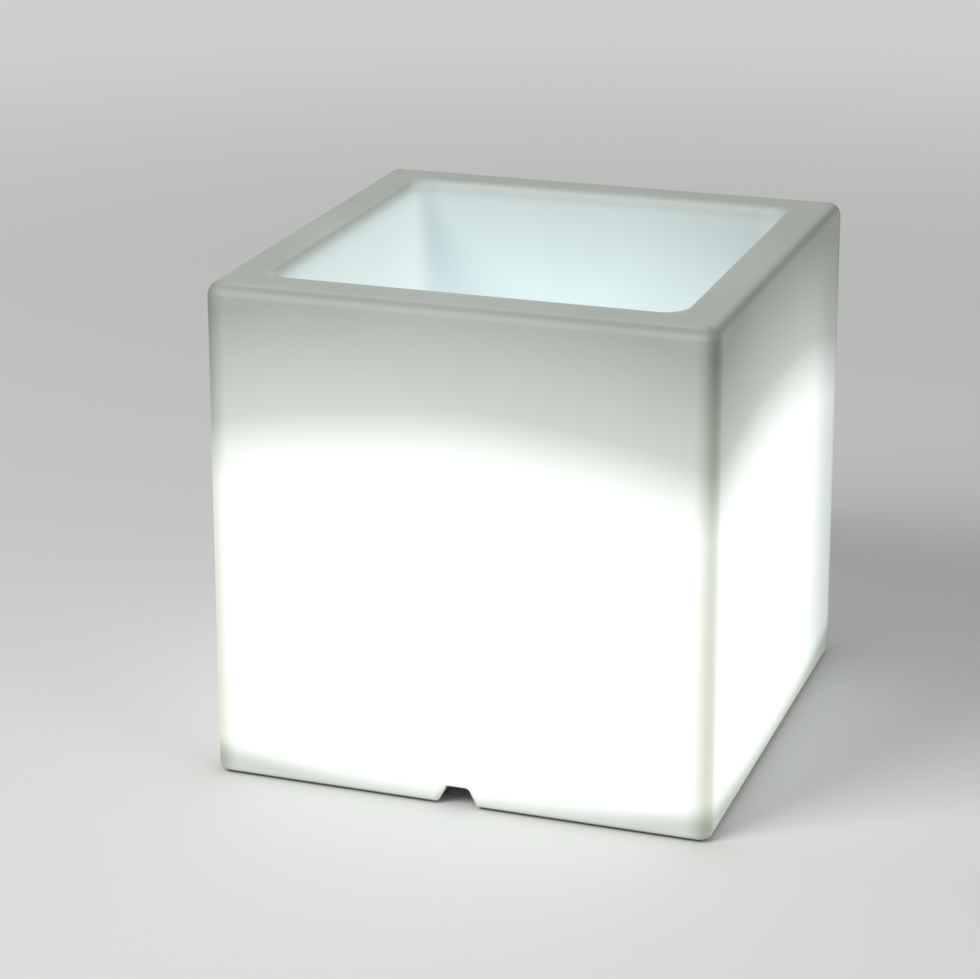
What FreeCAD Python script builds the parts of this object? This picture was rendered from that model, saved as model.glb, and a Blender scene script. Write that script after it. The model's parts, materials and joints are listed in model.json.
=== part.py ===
import FreeCAD, Part
import math
import os
import re

import Sketcher

# Glowing garden cube: a double-walled moulded cube with a planter well in its top and a
# rechargeable light module screwed into a round bay in its base.
# Millimetres. X to the right, +Y to the back, +Z up. The origin is the middle of the base, at the
# level that the foot pads stand on, and the cable notch is in the front face, towards -Y.

SIZES = {
    # moulded cube
    "overall_height": 400, "side_base": 402, "side_draft": 0.36, "skin": 4, "pad_stand": 1.5,
    "edge_radius": 10, "well_edge_radius": 8, "base_edge_radius": 5,
    "well_side": 320, "well_depth": 186, "well_draft": 3, "well_radius": 24,
    # cable notch, from the front face to the module bay
    "notch_base": 32, "notch_top": 18, "notch_height": 14, "notch_lip_radius": 3,
    "notch_roof_radius": 2,
    # module bay, port and moulded-in threaded inserts
    "bay_radius": 99, "bay_depth": 24.5, "bay_roof_radius": 3, "port_radius": 75,
    "insert_circle": 83, "insert_radius": 4, "insert_length": 10, "boss_radius": 7,
    "boss_height": 14,
    # foot pads, each in a shallow seat
    "pad_inset": 36, "pad_radius": 15, "pad_thickness": 3, "seat_radius": 16,
    # light module: gasket and tray
    "gasket_thickness": 1.4, "gasket_outer": 80, "gasket_inner": 76,
    "flange_radius": 91.5, "tray_wall": 3, "cup_radius": 71, "cup_height": 40.4, "cup_wall": 2.5,
    "recess_length": 92, "recess_width": 42, "recess_depth": 13, "recess_offset": -18,
    "recess_radius": 6, "clearance": 0.15,
    # screws
    "module_screw": 2, "module_head": 4, "module_head_height": 2.6, "module_screw_length": 12,
    # charging socket and its flap
    "jack_across": 24, "jack_radius": 5.5, "jack_bezel_radius": 7, "jack_bezel": 1.6,
    "jack_length": 17, "jack_bore": 2.9, "jack_bore_depth": 12, "pin_radius": 1.05,
    "pin_inset": 3.5, "nut_corner": 8.6, "nut_thickness": 2.5, "flap_radius": 8.6,
    "flap_thickness": 2.2, "plug_root": 2.5, "plug_tip": 1.9, "plug_length": 3, "body_gap": 0.3,
    "strap_width": 7, "strap_thickness": 1.6, "strap_end_radius": 0.78, "strap_reach": 12.5,
    "anchor_reach": 16.2, "anchor_side": 4.8, "anchor_stem": 1.6,
    # push switch
    "switch_across": -24, "switch_radius": 6, "switch_bezel_radius": 8, "switch_bezel": 3.2,
    "switch_length": 14, "button_radius": 4.4, "button_stand": 1.8, "button_collar": 5.1,
    "collar_height": 1, "collar_lift": 2, "button_travel": 1.5,
    "lens_radius": 1.5, "lens_across": -36, "lens_length": 5, "lens_stand": 0.6,
    # battery
    "cell_radius": 9.2, "cell_length": 65, "cell_pitch": 20, "battery_offset": 28,
    "cell_slack": 0.2, "contact_thickness": 0.8, "contact_side": 8, "holder_wall": 1.5,
    "holder_height": 13,
    # control board
    "board_length": 83, "board_width": 42, "board_thickness": 1.6, "board_lift": 24.4,
    "post_side": 6, "post_inset": 3.5, "chip_length": 10, "chip_width": 8, "chip_height": 1.8,
    "chip_pitch": 16, "chip_row": 22, "connector_length": 14, "connector_width": 6, "connector_offset": 44,
    # light source
    "spreader_radius": 72, "spreader_thickness": 2, "led_board_radius": 57.5, "led_side": 5,
    "led_height": 1.6, "outer_ring": 48, "inner_ring": 28, "outer_leds": 24, "inner_leds": 12,
    "dome_wall": 2, "dome_radius": 70, "dome_rise": 18, "receiver_radius": 3,
    "receiver_height": 5, "slot_slack": 1,
    # leads inside the module
    "lead_width": 3.2, "lead_thickness": 1.2, "lead_rise": 5.8, "lead_run": 6,
}

doc = FreeCAD.newDocument("GlowingCube")
sheet = doc.addObject("Spreadsheet::Sheet", "Sizes")
for row, (alias, size) in enumerate(SIZES.items(), start=1):
    sheet.set(f"A{row}", alias)
    sheet.set(f"B{row}", str(size))
    sheet.setAlias(f"B{row}", alias)
doc.recompute()

sub_parts = []


def bound(text):
    """The expression with each size name pointing at its cell of the sheet."""
    return re.sub(r"[a-z_]+", lambda word: ("Sizes." if word[0] in SIZES else "") + word[0], str(text))


def value(text):
    """The number that an expression has now, for placing a first guess or reading in code."""
    return float(sheet.evalExpression(bound(text)))


def bind(item, **expressions):
    """Tie properties to the sheet, such as bind(pad, Length="wall")."""
    for name, text in expressions.items():
        item.setExpression(name.replace("__", "."), bound(text))


def settle(feature):
    """Rebuild, and stop at once if the feature fails."""
    doc.recompute()
    if any(word in feature.State for word in ("Invalid", "Error")):
        raise RuntimeError(f"{feature.Name} does not build")
    return feature


def new_body(label):
    body = doc.addObject("PartDesign::Body", label)
    body.Label = label
    return body


def keep(item, label):
    """Name a finished sub-part and put it on the list of pieces to write."""
    doc.recompute()
    item.Label = label
    sub_parts.append(item)
    return item


def sketch_on(body, name, plane, lift="0"):
    """An empty sketch on one of the body's own origin planes, raised along the plane's normal."""
    sketch = body.newObject("Sketcher::SketchObject", name)
    origin_plane = next(item for item in body.Origin.OriginFeatures if item.Role == plane)
    sketch.AttachmentSupport = (origin_plane, "")
    sketch.MapMode = "FlatFace"
    sketch.setExpression("AttachmentOffset.Base.z", bound(lift))
    return sketch


def pin(sketch, edge, end, x, y):
    """Hold one end of an edge at a place given by two expressions."""
    for kind, text in (("DistanceX", x), ("DistanceY", y)):
        index = sketch.addConstraint(Sketcher.Constraint(kind, -1, 1, edge, end, value(text)))
        sketch.setExpression(f"Constraints[{index}]", bound(text))


def outline(body, name, corners, plane="XY_Plane", lift="0"):
    """A closed outline of straight sides through corners, each corner a pair of expressions."""
    sketch = sketch_on(body, name, plane, lift)
    places = [FreeCAD.Vector(value(x), value(y), 0) for x, y in corners]
    for index, place in enumerate(places):
        sketch.addGeometry(Part.LineSegment(place, places[(index + 1) % len(places)]), False)
    for index, (x, y) in enumerate(corners):
        previous = (index - 1) % len(corners)
        sketch.addConstraint(Sketcher.Constraint("Coincident", previous, 2, index, 1))
        pin(sketch, index, 1, x, y)
    return sketch


def rectangle(body, name, length, width, lift="0", x="0", y="0"):
    """A rectangle centred on x, y."""
    left, right = f"{x} - ({length}) / 2", f"{x} + ({length}) / 2"
    front, back = f"{y} - ({width}) / 2", f"{y} + ({width}) / 2"
    return outline(body, name, [(left, front), (right, front), (right, back), (left, back)], lift=lift)


def hexagon(body, name, corner, lift, x, y):
    """A hexagon whose corners lie at the given distance from x, y."""
    corners = [(f"{x} + {corner} * cos({60 * turn})", f"{y} + {corner} * sin({60 * turn})")
               for turn in range(6)]
    return outline(body, name, corners, lift=lift)


def circles(body, name, radii, lift="0", x="0", y="0"):
    """One or more circles about the same centre: a disc, or a ring when there are two."""
    sketch = sketch_on(body, name, "XY_Plane", lift)
    centre = FreeCAD.Vector(value(x), value(y), 0)
    for index, radius in enumerate(radii):
        sketch.addGeometry(Part.Circle(centre, FreeCAD.Vector(0, 0, 1), value(radius)), False)
        pin(sketch, index, 3, x, y)
        constraint = sketch.addConstraint(Sketcher.Constraint("Radius", index, value(radius)))
        sketch.setExpression(f"Constraints[{constraint}]", bound(radius))
    return sketch


def pad(body, sketch, length, draft=None):
    """Raise a sketch along its normal; draft is the angle that the sides lean outwards."""
    feature = body.newObject("PartDesign::Pad", sketch.Name + "_pad")
    feature.Profile = sketch
    bind(feature, Length=length)
    if draft:
        bind(feature, TaperAngle=draft)
    return settle(feature)


def pocket(body, sketch, depth, reverse=False):
    """Cut a sketch out of the body, against its normal unless reversed, and prove that it cuts."""
    before = body.Shape.Volume
    feature = body.newObject("PartDesign::Pocket", sketch.Name + "_pocket")
    feature.Profile = sketch
    feature.Reversed = reverse
    bind(feature, Length=depth)
    settle(feature)
    if body.Shape.Volume > before - 0.01:
        raise RuntimeError(f"{feature.Name} cuts nothing")
    return feature


def tapered_block(body, name, kind, low, height, low_side, high_side):
    """Add or take away an upright square block whose four flat sides lean evenly."""
    block = body.newObject(f"PartDesign::{kind}Wedge", name)
    block.Placement.Rotation = FreeCAD.Rotation(FreeCAD.Vector(1, 0, 0), 90)
    bind(block, Placement__Base__z=low, Ymin="0", Ymax=height)
    for axis in "XZ":
        bind(block, **{f"{axis}min": f"-({low_side}) / 2", f"{axis}max": f"({low_side}) / 2",
                       f"{axis}2min": f"-({high_side}) / 2", f"{axis}2max": f"({high_side}) / 2"})
    return settle(block)


def ring_of(body, features, count):
    """Repeat features round the upright axis."""
    pattern = body.newObject("PartDesign::PolarPattern", features[0].Name + "_ring")
    pattern.Originals = features
    axis = next(item for item in body.Origin.OriginFeatures if item.Role == "Z_Axis")
    pattern.Axis = (axis, [""])
    pattern.Angle = 360
    bind(pattern, Occurrences=count)
    body.Tip = pattern
    return settle(pattern)


def ease_edges(body, name, kind, test, **sizes):
    """Fillet or chamfer the edges whose middle point passes the test."""
    names = []
    for number, edge in enumerate(body.Shape.Edges, start=1):
        middle = edge.valueAt((edge.FirstParameter + edge.LastParameter) / 2)
        if not edge.Degenerated and test(edge, middle):
            names.append(f"Edge{number}")
    if not names:
        raise RuntimeError(f"{name} finds no edges")
    base = body.Tip
    feature = body.newObject(f"PartDesign::{kind}", name)
    feature.Base = (base, names)
    bind(feature, **sizes)
    return settle(feature)


def fillet(body, name, radius, test):
    return ease_edges(body, name, "Fillet", test, Radius=radius)


def chamfer(body, name, size, test):
    return ease_edges(body, name, "Chamfer", test, Size=size)


def soften(body, name, radius, test):
    """Round an edge of the cube's outer face, or bevel it as deep on the hidden inner face."""
    if body.Label == "outer_face":
        return fillet(body, name, radius, test)
    return chamfer(body, name, f"({radius}) * (2 - sqrt(2))", test)


def disc(body, name, radius, low, height, x="0", y="0"):
    """Add a round boss whose lower face is at height low."""
    return pad(body, circles(body, name, [radius], low, x, y), height)


def bore(body, name, radius, low, depth, x="0", y="0"):
    """Cut a round hole upwards from height low."""
    return pocket(body, circles(body, name, [radius], low, x, y), depth, reverse=True)


def near(number, text, slack=0.3):
    return abs(number - value(text)) < slack


# ---------------------------------------------------------------------------------------------
# The moulded cube: one skin of even thickness, drawn as its outer face and as the face of the
# air space inside it, which is the same form set in by the thickness of the skin.

INSERT = "insert_circle * sqrt(0.5)"
PAD = "(side_base / 2 - pad_inset)"


def upright(edge, middle):
    return abs(edge.tangentAt(edge.FirstParameter).z) > 0.9


def along_notch(edge, middle):
    """Whether an edge runs front to back in or beside the notch."""
    runs_back = abs(edge.tangentAt(edge.FirstParameter).y) > 0.99
    return runs_back and abs(middle.x) < value("notch_base + notch_lip_radius")


def moulded_form(label, inset):
    """The cube with its well, bay and notch, every face set into the plastic by inset."""
    body = new_body(label)
    low = f"pad_stand + {inset}"
    top = f"overall_height - {inset}"
    lean = "2 * tan(side_draft)"
    tapered_block(body, label + "_block", "Additive", low, f"{top} - ({low})",
                  f"side_base - 2 * {inset} - {lean} * {inset}",
                  f"side_base - 2 * {inset} - {lean} * ({top} - pad_stand)")
    soften(body, label + "_outer_edges", f"edge_radius - {inset}",
           lambda edge, mid: upright(edge, mid) or near(mid.z, top))

    well_side = f"well_side + 2 * {inset}"
    tapered_block(body, label + "_well", "Subtractive", f"{top} - well_depth", "well_depth",
                  f"{well_side} - 2 * well_depth * tan(well_draft)", well_side)
    inside = value("well_side") / 2 + value(inset) + 1
    soften(body, label + "_well_corners", f"well_radius + {inset}",
           lambda edge, mid: (upright(edge, mid) and max(abs(mid.x), abs(mid.y)) < inside)
           or near(mid.z, f"{top} - well_depth"))
    soften(body, label + "_well_edge", f"well_edge_radius - {inset}",
           lambda edge, mid: near(mid.z, top) and max(abs(mid.x), abs(mid.y)) < inside)

    bore(body, label + "_bay", f"bay_radius + {inset}", low, "bay_depth")

    flank_run = "(notch_base - notch_top) / 2"
    slope = f"({flank_run} / notch_height)"
    grow = f"{inset} * sqrt(({flank_run}) ^ 2 + notch_height ^ 2) / notch_height"
    foot = f"notch_base / 2 + {grow} + {slope} * notch_lip_radius"
    head = f"notch_base / 2 + {grow} - {slope} * (notch_height + {inset})"
    roof = f"pad_stand + notch_height + {inset}"
    below = "pad_stand - notch_lip_radius"
    profile = outline(body, label + "_notch",
                      [(f"-({foot})", below), (foot, below), (head, roof), (f"-({head})", roof)],
                      plane="XZ_Plane", lift="bay_radius * 0.9")
    pocket(body, profile, "side_base", reverse=True)
    soften(body, label + "_notch_roof", f"notch_roof_radius + {inset}",
           lambda edge, mid: along_notch(edge, mid) and near(mid.z, roof))
    if value("notch_lip_radius") > value(inset):
        soften(body, label + "_notch_lips", f"notch_lip_radius - {inset}",
               lambda edge, mid: along_notch(edge, mid) and near(mid.z, low))
    front = value("side_base") / 2 - value(inset)
    soften(body, label + "_base_edge", f"base_edge_radius - {inset}",
           lambda edge, mid: (near(mid.z, low) and max(abs(mid.x), abs(mid.y)) > front - 4)
           or (mid.y < 1 - front and mid.z < value(roof) + 0.5))
    return body


def cube_shell():
    """The skin between the two forms, with the foot seats, the port and the insert bosses."""
    outside = moulded_form("outer_face", "0")
    chamfer(outside, "bay_roof", "bay_roof_radius",
            lambda edge, mid: near(mid.z, "pad_stand + bay_depth"))
    seat = bore(outside, "pad_seat", "seat_radius", "pad_stand", "pad_thickness - pad_stand", PAD, PAD)
    ring_of(outside, [seat], "4")
    air = moulded_form("air_space", "skin")
    roof = "pad_stand + bay_depth + skin"
    boss = pocket(air, hexagon(air, "insert_boss", "boss_radius", roof, INSERT, INSERT),
                  "boss_height - skin", reverse=True)
    ring_of(air, [boss], "4")
    skin = doc.addObject("Part::Cut", "hollow_cube")
    skin.Base = outside
    skin.Tool = air
    holes = new_body("module_holes")
    below = "pad_stand + bay_depth - skin"
    disc(holes, "port", "port_radius", below, "3 * skin")
    hole = pad(holes, hexagon(holes, "insert_hole", "insert_radius", below, INSERT, INSERT),
               "insert_length + skin")
    ring_of(holes, [hole], "4")
    shell = doc.addObject("Part::Cut", "cube_shell")
    shell.Base = skin
    shell.Tool = holes
    keep(shell, "cube_shell")


def foot_pads():
    """Four round pads, each stuck into its seat and standing out of it."""
    body = new_body("foot_pads")
    first = disc(body, "pad", "pad_radius", "0", "pad_thickness", PAD, PAD)
    ring_of(body, [first], "4")
    keep(body, "foot_pads")


def module_inserts():
    """Six-sided threaded sleeves moulded into the bosses round the port."""
    body = new_body("module_inserts")
    roof = "pad_stand + bay_depth"
    sleeve = pad(body, hexagon(body, "sleeve", "insert_radius", roof, INSERT, INSERT), "insert_length")
    thread = bore(body, "thread", "module_screw + clearance", roof, "insert_length", INSERT, INSERT)
    ring_of(body, [sleeve, thread], "4")
    keep(body, "module_inserts")


# ---------------------------------------------------------------------------------------------
# The light module, from the bay roof down to the tray and up again to the dome.

BAY_ROOF = "(pad_stand + bay_depth)"
TRAY_LOW = f"({BAY_ROOF} - gasket_thickness - tray_wall)"
TRAY_FLOOR = f"({TRAY_LOW} + tray_wall)"
RECESS_ROOF = f"({TRAY_LOW} + recess_depth)"
CUP_TOP = f"({TRAY_LOW} + cup_height)"
SPREADER_TOP = f"({CUP_TOP} + spreader_thickness)"
BOARD_LOW = f"({TRAY_FLOOR} + board_lift)"
BOARD_TOP = f"({BOARD_LOW} + board_thickness)"
POST_ACROSS = "(board_length / 2 - post_inset)"
POST_ALONG = "(board_width / 2 - post_inset)"
POSTS = [(f"{side} * {POST_ACROSS}", f"battery_offset + {end} * {POST_ALONG}")
         for side in (-1, 1) for end in (-1, 1)]
HINGE_Y = "(recess_offset + strap_reach)"
ANCHOR_Y = "(recess_offset + anchor_reach)"


def module_gasket():
    """Ring between the tray's flange and the bay roof, inside the circle of screws."""
    body = new_body("module_gasket")
    low = f"{BAY_ROOF} - gasket_thickness"
    pad(body, circles(body, "gasket_ring", ["gasket_outer", "gasket_inner"], low), "gasket_thickness")
    keep(body, "module_gasket")


def module_tray():
    """Flange, cup, service recess with its holes, and the posts that carry the control board."""
    body = new_body("module_tray")
    disc(body, "flange", "flange_radius", TRAY_LOW, "tray_wall")
    pad(body, circles(body, "cup", ["cup_radius", "cup_radius - cup_wall"], TRAY_LOW), "cup_height")
    pad(body, rectangle(body, "recess_cover", "recess_length + 2 * tray_wall",
                        "recess_width + 2 * tray_wall", TRAY_FLOOR, "0", "recess_offset"),
        "recess_depth")
    half_cover = value("recess_length / 2 + tray_wall")
    fillet(body, "cover_corners", "recess_radius + tray_wall",
           lambda edge, mid: upright(edge, mid) and near(abs(mid.x), half_cover))
    for number, (x, y) in enumerate(POSTS):
        pad(body, rectangle(body, f"post_{number}", "post_side", "post_side", TRAY_FLOOR, x, y),
            "board_lift")
    pocket(body, rectangle(body, "recess", "recess_length", "recess_width", TRAY_LOW, "0",
                           "recess_offset"), "recess_depth", reverse=True)
    half_recess = value("recess_length / 2")
    fillet(body, "recess_corners", "recess_radius",
           lambda edge, mid: upright(edge, mid) and near(abs(mid.x), half_recess)
           and near(mid.z, f"{TRAY_LOW} + recess_depth / 2"))
    through = "tray_wall"
    bore(body, "switch_hole", "switch_radius", RECESS_ROOF, through, "switch_across", "recess_offset")
    bore(body, "jack_hole", "jack_radius", RECESS_ROOF, through, "jack_across", "recess_offset")
    bore(body, "lens_hole", "lens_radius", RECESS_ROOF, through, "lens_across", "recess_offset")
    bore(body, "anchor_hole", "anchor_stem", RECESS_ROOF, through, "jack_across", ANCHOR_Y)
    hole = bore(body, "flange_hole", "module_screw + clearance", TRAY_LOW, "tray_wall",
                INSERT, INSERT)
    ring_of(body, [hole], "4")
    keep(body, "module_tray")


def module_screws():
    """Pan-head screws that hold the tray and gasket up against the bay roof."""
    body = new_body("module_screws")
    head = disc(body, "module_head", "module_head", f"{TRAY_LOW} - module_head_height",
                "module_head_height", INSERT, INSERT)
    shank = disc(body, "module_shank", "module_screw", TRAY_LOW, "module_screw_length",
                 INSERT, INSERT)
    ring_of(body, [head, shank], "4")
    keep(body, "module_screws")


def charge_jack():
    """Panel socket whose bore faces down into the recess."""
    x, y = "jack_across", "recess_offset"
    mouth = f"({RECESS_ROOF} - jack_bezel)"
    body = new_body("charge_jack")
    disc(body, "jack_bezel", "jack_bezel_radius", mouth, "jack_bezel", x, y)
    disc(body, "jack_barrel", "jack_radius", RECESS_ROOF, "jack_length", x, y)
    bore(body, "jack_bore", "jack_bore", mouth, "jack_bore_depth", x, y)
    keep(body, "charge_jack")
    contact = new_body("jack_pin")
    disc(contact, "pin", "pin_radius", f"{mouth} + pin_inset", "jack_bore_depth - pin_inset", x, y)
    keep(contact, "jack_pin")


def panel_nut(label, across, hole):
    """Hexagon nut on top of the recess roof."""
    body = new_body(label)
    top = f"{RECESS_ROOF} + tray_wall"
    pad(body, hexagon(body, label + "_hexagon", "nut_corner", top, across, "recess_offset"),
        "nut_thickness")
    bore(body, label + "_hole", hole, top, "nut_thickness", across, "recess_offset")
    keep(body, label)


def charge_port_flap():
    """Soft cap over the socket, with a tapered plug and the strap that it swings on."""
    x, y = "jack_across", "recess_offset"
    top = f"({RECESS_ROOF} - jack_bezel - body_gap)"
    body = new_body("charge_port_flap")
    disc(body, "cap", "flap_radius", f"{top} - flap_thickness", "flap_thickness", x, y)
    reach = "(strap_reach + strap_thickness / 2)"
    pad(body, rectangle(body, "strap", "strap_width", reach, f"{top} - flap_thickness", x,
                        f"{y} + {reach} / 2"), "strap_thickness")
    strap_end = value(f"{y} + {reach}")
    fillet(body, "strap_end", "strap_end_radius",
           lambda edge, mid: abs(mid.y - strap_end) < 0.01 and near(mid.x, x))
    taper = "atan((plug_root - plug_tip) / plug_length)"
    pad(body, circles(body, "plug", ["plug_root"], top, x, y), "plug_length", draft=f"-{taper}")
    keep(body, "charge_port_flap")
    anchor = new_body("flap_anchor")
    low = f"{top} - flap_thickness"
    start = "(strap_thickness / 2 + body_gap)"
    length = f"(anchor_reach - strap_reach - {start})"
    pad(anchor, rectangle(anchor, "anchor_strap", "strap_width", length, low, x,
                          f"{HINGE_Y} + {start} + {length} / 2"), "strap_thickness")
    for name, start_z, height in (("foot", low, f"{RECESS_ROOF} - ({low})"),
                                  ("head", f"{RECESS_ROOF} + tray_wall", "strap_thickness")):
        pad(anchor, rectangle(anchor, "anchor_" + name, "anchor_side", "anchor_side", start_z, x,
                              ANCHOR_Y), height)
    disc(anchor, "anchor_stem", "anchor_stem", RECESS_ROOF, "tray_wall", x, ANCHOR_Y)
    keep(anchor, "flap_anchor")


def power_switch():
    """Push switch: a body with a stepped bore, and a cap with a collar that stays in the bore."""
    x, y = "switch_across", "recess_offset"
    body = new_body("power_switch")
    bezel_low = f"({RECESS_ROOF} - switch_bezel)"
    disc(body, "switch_bezel", "switch_bezel_radius", bezel_low, "switch_bezel", x, y)
    disc(body, "switch_barrel", "switch_radius", RECESS_ROOF, "switch_length", x, y)
    collar_low = f"({bezel_low} + collar_lift)"
    bore(body, "cap_bore", "button_radius + body_gap", bezel_low, "collar_lift", x, y)
    bore(body, "collar_bore", "button_collar + body_gap", f"{collar_low} - body_gap",
         "collar_height + button_travel + 2 * body_gap", x, y)
    keep(body, "power_switch")
    cap = new_body("power_button")
    disc(cap, "button", "button_radius", f"{bezel_low} - button_stand", "button_stand + collar_lift",
         x, y)
    disc(cap, "collar", "button_collar", collar_low, "collar_height", x, y)
    keep(cap, "power_button")


def status_lens():
    body = new_body("status_lens")
    disc(body, "lens", "lens_radius", f"{RECESS_ROOF} - lens_stand", "lens_length", "lens_across",
         "recess_offset")
    keep(body, "status_lens")


def battery():
    """Two round cells side by side in an open holder, with a spring plate at each end."""
    bay_length = "(cell_length + 2 * contact_thickness)"
    bay_width = "(2 * cell_radius + cell_slack)"
    holder = new_body("battery_holder")
    pad(holder, rectangle(holder, "holder", f"{bay_length} + 2 * holder_wall",
                          f"cell_pitch + {bay_width} + 2 * holder_wall", TRAY_FLOOR, "0",
                          "battery_offset"), "holder_height")
    cells, contacts = [], []
    for side in (-1, 1):
        lane = f"(battery_offset + {side} * cell_pitch / 2)"
        pocket(holder, rectangle(holder, f"cell_lane_{side + 1}", bay_length, bay_width,
                                 f"{TRAY_FLOOR} + holder_height", "0", lane),
               "holder_height - holder_wall")
        axis = f"{TRAY_FLOOR} + holder_wall + cell_radius"
        cells.append(lying_cylinder(f"cell_{side + 1}", "cell_radius", "cell_length",
                                    "-cell_length / 2", lane, axis))
        for end in (-1, 1):
            contacts.append(box(f"contact_{end + 1}_{side + 1}", "contact_thickness", "contact_side",
                                "contact_side", f"{end} * (cell_length + contact_thickness) / 2", lane,
                                f"{axis} - contact_side / 2"))
    keep(holder, "battery_holder")
    keep(group("battery_cells", cells), "battery_cells")
    keep(group("battery_contacts", contacts), "battery_contacts")


def lying_cylinder(name, radius, length, x, y, z):
    """A cylinder along X that starts at x, y, z."""
    cylinder = doc.addObject("Part::Cylinder", name)
    cylinder.Placement.Rotation = FreeCAD.Rotation(FreeCAD.Vector(0, 1, 0), 90)
    bind(cylinder, Radius=radius, Height=length, Placement__Base__x=x, Placement__Base__y=y,
         Placement__Base__z=z)
    return cylinder


def standing_cylinder(name, radius, height, x, y, z):
    cylinder = doc.addObject("Part::Cylinder", name)
    bind(cylinder, Radius=radius, Height=height, Placement__Base__x=x, Placement__Base__y=y,
         Placement__Base__z=z)
    return cylinder


def box(name, length, width, height, x, y, z):
    """A block whose underside is centred on x, y, z."""
    block = doc.addObject("Part::Box", name)
    bind(block, Length=length, Width=width, Height=height, Placement__Base__x=f"{x} - {length} / 2",
         Placement__Base__y=f"{y} - {width} / 2", Placement__Base__z=z)
    return block


def group(name, members):
    """Several separate solids that count as one sub-part, such as a set of identical screws."""
    compound = doc.addObject("Part::Compound", name + "_set")
    compound.Links = members
    return compound


def control_board():
    """Board on the tray's four posts, with its chips and the connector up to the light board."""
    keep(box("control_board", "board_length", "board_width", "board_thickness", "0",
             "battery_offset", BOARD_LOW), "control_board")
    chips = [box(f"chip_{number}", "chip_length", "chip_width", "chip_height",
                 f"({number} - 1) * chip_pitch", "chip_row", BOARD_TOP)
             for number in range(3)]
    keep(group("control_chips", chips), "control_chips")
    keep(box("board_connector", "connector_length", "connector_width",
             f"({SPREADER_TOP} - {BOARD_TOP})", "0", "connector_offset", BOARD_TOP), "board_connector")


def heat_spreader():
    """Metal disc on the cup's rim, with a slot for the connector."""
    body = new_body("heat_spreader")
    disc(body, "spreader", "spreader_radius", CUP_TOP, "spreader_thickness")
    pocket(body, rectangle(body, "connector_slot", "connector_length + slot_slack",
                           "connector_width + slot_slack", CUP_TOP, "0", "connector_offset"),
           "spreader_thickness", reverse=True)
    keep(body, "heat_spreader")


def light_source():
    """Round board with two rings of light chips and the remote receiver in the middle."""
    top = f"({SPREADER_TOP} + board_thickness)"
    keep(standing_cylinder("led_board", "led_board_radius", "board_thickness", "0", "0",
                           SPREADER_TOP), "led_board")
    chips = new_body("led_chips")
    for name, radius, count in (("outer", "outer_ring", "outer_leds"),
                                ("inner", "inner_ring", "inner_leds")):
        chip = pad(chips, rectangle(chips, name + "_chip", "led_side", "led_side", top, radius, "0"),
                   "led_height")
        ring_of(chips, [chip], count)
    keep(chips, "led_chips")
    receiver = new_body("remote_receiver")
    disc(receiver, "receiver", "receiver_radius", top, "receiver_height")
    keep(receiver, "remote_receiver")


def diffuser_dome():
    """Shallow frosted cap over the lights, bonded to the spreader along its foot."""
    body = new_body("diffuser_dome")
    disc(body, "cap", "dome_radius", SPREADER_TOP, "dome_rise")
    bore(body, "hollow", "dome_radius - dome_wall", SPREADER_TOP, "dome_rise - dome_wall")
    keep(body, "diffuser_dome")


def lead(label, across, start_y, start_z):
    """Flat two-core lead from a switch or socket to the board's front edge: runs joined by arcs."""
    run, rise = value("lead_run"), value("lead_rise")
    x, y, z = value(across), value(start_y), value(start_z)
    end_y = value("battery_offset - board_width / 2")
    route = [FreeCAD.Vector(x, y, z), FreeCAD.Vector(x, y + run, z),
             FreeCAD.Vector(x, end_y - run, z + rise), FreeCAD.Vector(x, end_y, z + rise)]
    edges, here = [], route[0]
    for before, corner, after in zip(route, route[1:], route[2:]):
        into, out = (corner - before).normalize(), (after - corner).normalize()
        trim = 0.45 * min((corner - before).Length, (after - corner).Length)
        first, last = corner - into * trim, corner + out * trim
        middle = corner + (out - into).normalize() * (trim * math.tan(into.getAngle(out) / 4))
        edges += [Part.makeLine(here, first), Part.Arc(first, middle, last).toShape()]
        here = last
    edges.append(Part.makeLine(here, route[-1]))
    half_width, half_thick = value("lead_width / 2"), value("lead_thickness / 2")
    corners = [FreeCAD.Vector(x + side * half_width, y, z + rise_by * half_thick)
               for side, rise_by in ((-1, -1), (1, -1), (1, 1), (-1, 1), (-1, -1))]
    tube = doc.addObject("Part::Feature", label)
    tube.Shape = Part.Wire(edges).makePipeShell([Part.makePolygon(corners)], True, False)
    keep(tube, label)


cube_shell()
foot_pads()
module_inserts()
module_gasket()
module_tray()
module_screws()
charge_jack()
panel_nut("jack_nut", "jack_across", "jack_radius")
charge_port_flap()
power_switch()
panel_nut("switch_nut", "switch_across", "switch_radius")
status_lens()
battery()
control_board()
heat_spreader()
light_source()
diffuser_dome()
for name, across, barrel in (("switch_lead", "switch_across", "switch_radius"),
                             ("jack_lead", "jack_across", "jack_radius")):
    lead(name, across, f"recess_offset + {barrel}", f"{BOARD_LOW} + board_thickness / 2 - lead_rise")

for item in doc.Objects:
    if any(word in item.State for word in ("Invalid", "Error")):
        raise RuntimeError(f"{item.Label} did not rebuild: {item.State}")
os.makedirs("parts", exist_ok=True)
for item in sub_parts:
    if item.Shape.isNull() or not item.Shape.isValid():
        raise RuntimeError(f"{item.Label} is not a valid shape")
    item.Shape.exportStep(os.path.join("parts", item.Label + ".step"))
    print(f"{item.Label}: {len(item.Shape.Solids)} solids, {item.Shape.Volume:.1f} mm3")
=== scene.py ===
import json
from math import cos, hypot, radians, sin, tan

import bmesh
import bpy
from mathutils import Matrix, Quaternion, Vector


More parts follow.
